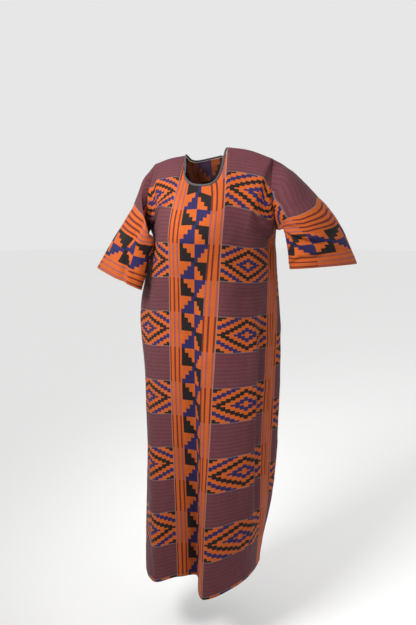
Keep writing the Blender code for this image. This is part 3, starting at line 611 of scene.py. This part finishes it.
def diamonds(across, down):
    """Concentric stepped diamonds: across -7.5 to 7.5 columns, down 0 to 1 of the block."""
    column = (across + 0.5).floor().abs()
    way = down * 17.0 - 8.5
    row = (way + 0.5).floor().abs()
    level = ((row + column) / 2.0).floor()
    turn = level.wrap(4.0)
    odd = level.wrap(2.0)
    thin = both(row < 0.5, column.wrap(2.0), 1.0 - odd, way.abs() > 0.36)
    indigo = either(both(turn > 0.5, turn < 1.5), both(thin, column < 2.0))
    black = either(turn > 2.5, both(thin, column > 2.0))
    dark = paint(black, INDIGO, BLACK)
    return paint(either(indigo, black), ORANGE, dark)


def mauve(down, across):
    """Plain block: fine darker lines and rows of short dashes."""
    row = down * 9.0
    line = band(row.part(), 0.36, 0.62)
    fine = band((row * 3.0).part(), 0.30, 0.62)
    dash = both(band((row + 0.5).part(), 0.40, 0.62), band((across * 70.0 + row.floor() * 0.37).part(), 0.0, 0.5),
                band((row.floor() * 0.371 + (across * 8.0).floor() * 0.29).part(), 0.0, 0.45))
    colour = paint(0.14 * fine, MAUVE, MAUVE_DARK)
    colour = paint(0.34 * line, colour, MAUVE_DARK)
    return paint(0.22 * dash, colour, PALE_LINE)


def blocks(across, down, is_mauve):
    """A column of the two blocks: across in columns of a diamond, down in blocks."""
    f = down.part()
    colour = paint(is_mauve, diamonds(across, f), mauve(f, across / 15.0))
    rim = either(f < 0.014, f > 0.986)
    return paint(0.55 * rim, colour, GREY_LINE)


def body_print(u, down, centre=0.0):
    """Print of the front and back: u across the cloth and down below the bust line, both in metres."""
    u = u - centre
    au = u.abs()
    k = down / BLOCK
    is_mauve = (k.floor()).wrap(2.0)
    colour = blocks((au - 0.175) / (0.19 / 15), k, is_mauve)
    right = u < 0.0
    band_t = (au - 0.04) / 0.04
    colour_border = paint(right, border(band_t, BORDER_L, is_mauve), border(band_t, BORDER_R, 1.0 - is_mauve))
    colour = paint(au < 0.08, colour, colour_border)
    side_t = (0.31 - au) / 0.04
    colour = paint(au > 0.27, colour, border(side_t, SIDE_BAND, is_mauve))
    half = k.part() * 2.0
    square = motif(right, paint_x(right, u), half.floor(), half.part())
    return paint(au < 0.04, colour, square)


def paint_x(right, u):
    """Place across the stepped square, from its left edge: both squares are 4 cm wide."""
    return (u + 0.04 * right) / 0.04


def sleeve_print(round_, above):
    """Print of a sleeve, which is cut across the cloth: round it from the fold line and above its hem, in metres."""
    k = round_ / BLOCK
    is_mauve = (k.floor()).wrap(2.0)
    colour = blocks((above - 0.2955) / (0.19 / 15), k, is_mauve)
    colour = paint(above < 0.2005, colour, border((above - 0.128) / 0.0725, SLEEVE_UPPER, 1.0 - is_mauve))
    half = k.part() * 2.0
    upper = above > 0.088
    y = 1.0 - ((above - 0.048) / 0.04).part()
    # upper squares: indigo with orange at the top right, black with orange at the bottom right; lower: black with
    # orange at the top left, indigo with orange at the bottom left
    x = half.part()
    second = half.floor()
    row = ((1.0 - y) * 4.0).floor()
    from_top, from_foot = (row + 0.0) / 4.0, (3.0 - row) / 4.0
    orange = either(both(upper, 1.0 - second, x > (1.0 - from_top)), both(upper, second, x > (1.0 - from_foot)),
                    both(1.0 - upper, 1.0 - second, x < from_top), both(1.0 - upper, second, x < from_foot))
    indigo = either(both(upper, 1.0 - second), both(1.0 - upper, second))
    square = paint(orange, paint(indigo, BLACK, INDIGO), ORANGE)
    colour = paint(above < 0.128, colour, square)
    return paint(above < 0.048, colour, border(above / 0.048, SLEEVE_HEM, is_mauve))


def texture(kind, vector, **inputs):
    node = Number.tree.nodes.new(kind)
    Number.tree.links.new(vector, node.inputs["Vector"])
    for name, value in inputs.items():
        node.inputs[name.replace("_", " ").title()].default_value = value
    return node


def stretched(vector, x, y, z=1.0):
    node = Number.tree.nodes.new("ShaderNodeVectorMath")
    node.operation = "MULTIPLY"
    Number.tree.links.new(vector, node.inputs[0])
    node.inputs[1].default_value = (x, y, z)
    return node.outputs[0]


def printed_cotton(name, pattern, hem, inside=False):
    """Printed plain-weave cotton. pattern gives its colour, hem the distance to the hem, from flat places."""
    made = bpy.data.materials.new(name)
    made.use_nodes = True
    Number.tree = tree = made.node_tree
    shader = tree.nodes["Principled BSDF"]
    where = tree.nodes.new("ShaderNodeUVMap")
    where.uv_map = "print"
    split = tree.nodes.new("ShaderNodeSeparateXYZ")
    tree.links.new(where.outputs["UV"], split.inputs[0])
    u, v = Number(split.outputs[0]), Number(split.outputs[1])
    flat = where.outputs["UV"]

    # the printed edge wanders by a fraction of a millimetre, as ink on cotton does
    wander = texture("ShaderNodeTexNoise", flat, scale=420.0, detail=1.0)
    shift = (Number(wander.outputs["Fac"]) - 0.5) * 0.0011
    colour = pattern(u + shift, v + shift)

    warp = Number(texture("ShaderNodeTexNoise", stretched(flat, 900.0, 14.0), scale=1.0, detail=2.0).outputs["Fac"])
    weft = Number(texture("ShaderNodeTexNoise", stretched(flat, 14.0, 900.0), scale=1.0, detail=2.0).outputs["Fac"])
    cloud = Number(texture("ShaderNodeTexNoise", flat, scale=9.0, detail=3.0).outputs["Fac"])
    thread = (warp + weft - 1.0) * 0.55 + (cloud - 0.5) * 0.30
    colour = shade(colour, 1.0 + thread)

    # hem: a row of stitches 15 mm in, and the doubled cloth below it
    away = hem(u, v)
    stitch = both(band(away, 0.0146, 0.0154), band((u / 0.0029).part(), 0.0, 0.72))
    colour = paint(0.75 * stitch, colour, THREAD)
    if inside:
        colour = paint(0.30, colour, linear(150, 104, 92))
    tree.links.new(shade(colour, Number.of("MULTIPLY", 1.0, CLOTH_TONE)), shader.inputs["Base Color"])

    weave = (u * (2 * np.pi / 0.00055)).sin() * (v * (2 * np.pi / 0.00055)).sin()
    fold_line = band(away, 0.0, 0.0150)
    height = weave * 0.35 + (warp + weft) * 0.6 + fold_line * 1.2 - stitch * 1.6
    bump = tree.nodes.new("ShaderNodeBump")
    bump.inputs["Strength"].default_value = 0.35
    bump.inputs["Distance"].default_value = 0.00035
    tree.links.new(height.out, bump.inputs["Height"])
    tree.links.new(bump.outputs["Normal"], shader.inputs["Normal"])
    rough = 0.80 + 0.12 * (cloud - 0.5) + 0.08 * weave
    tree.links.new(rough.out, shader.inputs["Roughness"])
    shader.inputs["Metallic"].default_value = 0.0
    shader.inputs["Specular IOR Level"].default_value = 0.14
    shader.inputs["Sheen Weight"].default_value = 0.04
    shader.inputs["Sheen Roughness"].default_value = 0.45
    shader.inputs["Sheen Tint"].default_value = (1.0, 0.93, 0.88, 1.0)
    return made


def binding_cotton():
    made = bpy.data.materials.new("binding_tape")
    made.use_nodes = True
    Number.tree = tree = made.node_tree
    shader = tree.nodes["Principled BSDF"]
    where = tree.nodes.new("ShaderNodeUVMap")
    where.uv_map = "print"
    split = tree.nodes.new("ShaderNodeSeparateXYZ")
    tree.links.new(where.outputs["UV"], split.inputs[0])
    u, v = Number(split.outputs[0]), Number(split.outputs[1])
    flat = where.outputs["UV"]
    slub = Number(texture("ShaderNodeTexNoise", stretched(flat, 260.0, 1400.0), scale=1.0, detail=2.0).outputs["Fac"])
    cloud = Number(texture("ShaderNodeTexNoise", flat, scale=60.0, detail=2.0).outputs["Fac"])
    stitch = both(band(v, 0.0044, 0.0050), band((u / 0.0026).part(), 0.0, 0.70))
    colour = shade(paint(0.0, CHARCOAL, CHARCOAL), 0.72 + 0.4 * slub + 0.2 * cloud)
    colour = paint(0.8 * stitch, colour, linear(92, 86, 88))
    tree.links.new(colour, shader.inputs["Base Color"])
    bias = ((u + v) * (2 * np.pi / 0.0007)).sin() * ((u - v) * (2 * np.pi / 0.0007)).sin()
    bump = tree.nodes.new("ShaderNodeBump")
    bump.inputs["Strength"].default_value = 0.4
    bump.inputs["Distance"].default_value = 0.0003
    tree.links.new((bias * 0.4 + slub - stitch * 1.5).out, bump.inputs["Height"])
    tree.links.new(bump.outputs["Normal"], shader.inputs["Normal"])
    tree.links.new((0.74 + 0.1 * slub).out, shader.inputs["Roughness"])
    shader.inputs["Specular IOR Level"].default_value = 0.35
    shader.inputs["Sheen Weight"].default_value = 0.15
    shader.inputs["Sheen Roughness"].default_value = 0.4
    return made


# ---- pieces ----
def cloth(name, grid, flat, closed, looks):
    """A piece of cloth from its grid, with its flat places as the print's map and a thin wall on the inner side."""
    rows, cols = grid.shape[:2]
    faces, corners = [], []
    for i in range(rows - 1):
        for j in range(cols if closed else cols - 1):
            k = (j + 1) % cols
            faces.append((i * cols + j, (i + 1) * cols + j, (i + 1) * cols + k, i * cols + k))
            corners.append([(i, j), (i + 1, j), (i + 1, j + 1), (i, j + 1)])
    mesh = bpy.data.meshes.new(name)
    mesh.from_pydata([tuple(p) for p in grid.reshape(-1, 3)], [], faces)
    uv = mesh.uv_layers.new(name="print")
    at = np.array(corners).reshape(-1, 2)
    uv.data.foreach_set("uv", flat[at[:, 0], at[:, 1]].astype(np.float32).ravel())
    mesh.update()
    mesh.shade_smooth()
    for look in looks:
        mesh.materials.append(look)
    piece = bpy.data.objects.new(name, mesh)
    bpy.context.scene.collection.objects.link(piece)
    shell = piece.modifiers.new("wall", "SOLIDIFY")
    shell.thickness = WALL
    shell.offset = -1.0
    shell.use_even_offset = False
    shell.material_offset = 1
    shell.material_offset_rim = 0
    return piece


def neck_binding(front, back, look):
    """Folded tape round the neck: a flat rounded tube that carries the panels' surface on."""
    a = COLS_ARM + COLS_SHOULDER
    nf, nb = grid_normals(front, False)[0], grid_normals(back, False)[0]
    neck = np.concatenate([front[0][a:-a], back[0][a:-a][1:-1]])
    normal = np.concatenate([nf[a:-a], nb[a:-a][1:-1]])
    normal[0] += nb[-a - 1]
    normal[COLS_NECK_FRONT] += nb[a]
    for _ in range(12):
        normal = normal + (np.roll(normal, 1, 0) + np.roll(normal, -1, 0)) / 2
        normal /= np.linalg.norm(normal, axis=1, keepdims=True)
    tangent = np.roll(neck, -1, 0) - np.roll(neck, 1, 0)
    tangent /= np.linalg.norm(tangent, axis=1, keepdims=True)
    inward = np.cross(normal, tangent)
    inward *= np.sign((inward * (neck.mean(axis=0) - neck)).sum(1, keepdims=True))
    for _ in range(6):
        inward = inward + (np.roll(inward, 1, 0) + np.roll(inward, -1, 0)) / 2
        inward /= np.linalg.norm(inward, axis=1, keepdims=True)
    turns = np.linspace(0, 2 * np.pi, 16, endpoint=False)
    n = len(neck)
    length = np.concatenate([[0.0], np.cumsum(np.linalg.norm(np.roll(neck, -1, 0) - neck, axis=1))])
    pucker = 1.0 + 0.10 * np.sin(2 * np.pi * length[:-1] / 0.021) * np.sin(2 * np.pi * length[:-1] / 0.057 + 1.0)
    wide = 0.5 * BIND_WIDTH * np.sign(np.cos(turns)) * np.abs(np.cos(turns)) ** 0.7
    high = 0.5 * BIND_THICK * np.sign(np.sin(turns)) * np.abs(np.sin(turns)) ** 0.7
    points = (neck[:, None] + (0.0006 + BIND_WIDTH / 2 + wide)[None, :, None] * inward[:, None]
              + (high[None] * pucker[:, None] - 0.0002)[..., None] * normal[:, None])
    faces, uvs = [], []
    for i in range(n):
        for j in range(16):
            i2, j2 = (i + 1) % n, (j + 1) % 16
            faces.append((i * 16 + j, i * 16 + j2, i2 * 16 + j2, i2 * 16 + j))
            v0, v1 = BIND_WIDTH / 2 + wide[j], BIND_WIDTH / 2 + wide[j2]
            uvs += [(length[i], v0), (length[i], v1), (length[i + 1], v1), (length[i + 1], v0)]
    mesh = bpy.data.meshes.new("neck_binding_tape")
    mesh.from_pydata([tuple(p) for p in points.reshape(-1, 3)], [], faces)
    mesh.uv_layers.new(name="print").data.foreach_set("uv", np.array(uvs, np.float32).ravel())
    mesh.materials.append(look)
    mesh.shade_smooth()
    mesh.update()
    volume = sum(float(np.dot(np.cross(points.reshape(-1, 3)[f[1]] - points.reshape(-1, 3)[f[0]],
                                       points.reshape(-1, 3)[f[2]] - points.reshape(-1, 3)[f[0]]),
                              points.reshape(-1, 3)[f[0]] - neck.mean(axis=0))) for f in faces)
    if volume < 0:
        mesh.flip_normals()
    piece = bpy.data.objects.new("neck_binding_tape", mesh)
    bpy.context.scene.collection.objects.link(piece)
    return piece


def shift_print(flat, tucks):
    """The print's places on a panel, moved where a fold takes cloth up."""
    cm = flat * 100
    for tuck in tucks:
        x, side, length = from_line(cm, tuck["a"], tuck["b"], tuck["bow"])
        ends = ease(x * length / tuck["fade"] + 0.2) * ease((1 - x) * length / tuck["fade"] + 0.8)
        way = np.array(tuck["b"], float) - np.array(tuck["a"], float)
        across = np.array([-way[1], way[0]]) / np.linalg.norm(way)
        amount = tuck["hide"] / 2 * np.tanh(side / 0.35) * np.exp(-(side / tuck["reach"]) ** 2) * ends
        cm = cm + amount[..., None] * across
    if tucks:                                  # the front is drawn round to the wearer's right side a little
        cm[..., 0] += SIDE_DRAWN * ease((-8.5 - cm[..., 0]) / 8.0) * ease((31.0 + cm[..., 0]) / 4.0)
    return cm / 100


def sleeve_flat(name, degrees, above):
    """Flat places of a sleeve's print: metres round it from the fold line over the arm, and up from the hem."""
    rows = PRINT_ROUND[name]
    levels = [np.interp(degrees, row["degrees"], row["blocks"]) for row in rows]
    at = np.clip(above * 100, rows[0]["above"], rows[-1]["above"])
    blocks = levels[-1]
    for low, high, a, b in zip(rows[:-1], rows[1:], levels[:-1], levels[1:]):
        t = (at - low["above"]) / (high["above"] - low["above"])
        blocks = np.where((t >= 0) & (t < 1), a + (b - a) * t, blocks)
    cloth_ = np.interp(degrees, PRINT_ALONG[name]["degrees"], PRINT_ALONG[name]["cloth"])
    drawn = 0.0
    if name == "sleeve_left":
        drawn = np.interp(above * 100, DRAWN["above"], DRAWN["cm"]) * np.interp(degrees, DRAWN["degrees"], DRAWN["share"]) / 100
    return np.stack([blocks * BLOCK, above * cloth_ + drawn], -1)


def build():
    front, front_flat = panel(FRONT_TOP, COLS_NECK_FRONT)
    back, back_flat = panel(BACK_TOP, COLS_NECK_BACK)
    hole_r, hole_l = armholes()
    right, right_at, right_girth = sleeve_grid(hole_r, SLEEVE_R)
    left, left_at, left_girth = sleeve_grid(hole_l, SLEEVE_L)
    made = dict(front=(front, front_flat * 100, False), back=(back, back_flat * 100, False),
                sleeve_right=(right, right_at, True), sleeve_left=(left, left_at, True))
    grids, maps = {}, {}
    for n, (name, (grid, flat, closed)) in enumerate(made.items()):
        normal = grid_normals(grid, closed)
        if name == "sleeve_right":
            normal = -normal
        inside = ease(near_edge(grid, closed) / 0.022)
        if closed:
            cm = np.stack([flat[..., 0] / 360.0 * 100 * 0.42, flat[..., 1] * 100], -1)
            scale = 0.42 * 100 / 360.0
            folds = []
            for fold in FOLDS[name]:
                a, b = fold["a"], fold["b"]
                if b[0] < a[0] - 180:
                    b = (b[0] + 360, b[1])
                for turn in (-360, 0, 360):
                    folds.append(dict(fold, a=((a[0] + turn) * scale, a[1]), b=((b[0] + turn) * scale, b[1])))
            height = fold_height(cm, folds) + ripple(np.stack([10 * np.sin(np.radians(flat[..., 0])),
                                                              cm[..., 1]], -1), 40 + n, 0.8)
        else:
            cm = flat
            height = fold_height(cm, FOLDS[name]) + ripple(cm, 40 + n)
        hollow = -0.0006 * np.exp(-(near_edge(grid, closed) / 0.0022) ** 2)
        grids[name] = grid + (height * inside)[..., None] * normal
        grids[name] += hollow[..., None] * np.where(near_edge(grid, closed) > 1e-6, 1.0, 0.0)[..., None] * normal
        maps[name] = (flat, closed)
    maps_out = dict(
        front=shift_print(front_flat, TUCKS["front"]) * np.array([1.0, -1.0]),
        back=back_flat * np.array([1.0, -1.0]))
    for name in ("sleeve_right", "sleeve_left"):
        degrees, above = maps[name][0][..., 0], maps[name][0][..., 1]
        # one more column of places, so that the last face closes on 360 degrees and not on 0
        degrees = np.concatenate([degrees, np.full((degrees.shape[0], 1), 360.0)], 1)
        above = np.concatenate([above, above[:, :1]], 1)
        maps_out[name] = sleeve_flat(name, degrees, above)

    pieces = {}
    for name, grid in grids.items():
        closed = made[name][2]
        flat = maps_out[name]
        if name == "sleeve_right":
            grid, flat = grid[:, ::-1], flat[:, ::-1]
        pieces[name] = (grid, closed, flat)
    moved = shrink_edges({name: (grid, closed) for name, (grid, closed, _) in pieces.items()})

    def front_pattern(u, v): return body_print(u, v)
    def back_pattern(u, v): return body_print(u, v - BACK_DROP, 0.60)
    def panel_hem(u, v): return HEM_DOWN - v
    def sleeve_hem(u, v): return v
    looks = {}
    for name, pattern, hem in (("front", front_pattern, panel_hem), ("back", back_pattern, panel_hem),
                               ("sleeve", sleeve_print, sleeve_hem)):
        looks[name] = [printed_cotton(name + "_print", pattern, hem),
                       printed_cotton(name + "_wrong_side", pattern, hem, inside=True)]
    out = {}
    for name, (grid, closed, flat) in pieces.items():
        out[name] = cloth(name + "_cloth", moved[name], flat, closed, looks[name.split("_")[0]])
    out["neck_binding"] = neck_binding(moved["front"], moved["back"], binding_cotton())
    return out, dict(front=front_flat, back=back_flat, sleeve_right=right_girth, sleeve_left=left_girth)


made, sizes = build()
for node, piece in made.items():
    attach(piece, "root")
    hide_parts(node)


# ---- stage ----
def plain(name, colour, roughness):
    made = bpy.data.materials.new(name)
    made.use_nodes = True
    shader = made.node_tree.nodes["Principled BSDF"]
    shader.inputs["Base Color"].default_value = (*colour, 1.0)
    shader.inputs["Roughness"].default_value = roughness
    shader.inputs["Specular IOR Level"].default_value = 0.2
    return made


FLOOR_HIGH = CAD_BOX[0][2] - 0.19
mesh = bpy.data.meshes.new("floor")
ring = [(14 * np.cos(a), 14 * np.sin(a), FLOOR_HIGH) for a in np.linspace(0, 2 * np.pi, 64, endpoint=False)]
mesh.from_pydata(ring, [], [tuple(range(64))])
mesh.materials.append(plain("floor_pale", (0.96, 0.96, 0.955), 0.9))
floor = bpy.data.objects.new("floor", mesh)
bpy.context.scene.collection.objects.link(floor)

world = bpy.data.worlds.new("studio")
bpy.context.scene.world = world
world.use_nodes = True
world.node_tree.nodes["Background"].inputs["Color"].default_value = (1.0, 1.0, 1.0, 1.0)
world.node_tree.nodes["Background"].inputs["Strength"].default_value = 0.80


def lamp(name, place_, aim, size, power, spread=180.0, colour=(1.0, 1.0, 1.0)):
    """Soft rectangular light at a place of the table's axes (metres), aimed at another."""
    data = bpy.data.lights.new(name, "AREA")
    data.shape = "RECTANGLE"
    data.size, data.size_y = size
    data.energy = power
    data.spread = float(np.radians(spread))
    data.color = colour
    thing = bpy.data.objects.new(name, data)
    bpy.context.scene.collection.objects.link(thing)
    from mathutils import Vector
    start, end = (Vector(place(np.array(p, float))) for p in (place_, aim))
    thing.location = start
    thing.rotation_mode = "QUATERNION"
    thing.rotation_quaternion = (end - start).to_track_quat("-Z", "Y")
    return thing


lamp("key", (-1.05, -1.25, 0.9), (0.0, 0.0, -0.25), (0.8, 0.6), 8.8, 62.0)
lamp("fill", (1.3, -1.9, 0.9), (0.0, 0.0, -0.1), (1.2, 1.2), 2.0, 100.0)

data = bpy.data.cameras.new("camera")
data.lens = 43.03
data.sensor_width = 36.0
data.clip_start, data.clip_end = 0.05, 60.0
camera = bpy.data.objects.new("camera", data)
bpy.context.scene.collection.objects.link(camera)
camera.location = tuple(place(np.array([-SHIFT, -2.2, 0.0]))[:2] + 0.0) + (-NECK_HIGH,)
camera.location = tuple(place(np.array([0.0, -2.2, 0.0])))
camera.rotation_euler = (np.radians(80.0), 0.0, TURN)
bpy.context.scene.camera = camera
bpy.context.scene.view_settings.view_transform = "Standard"
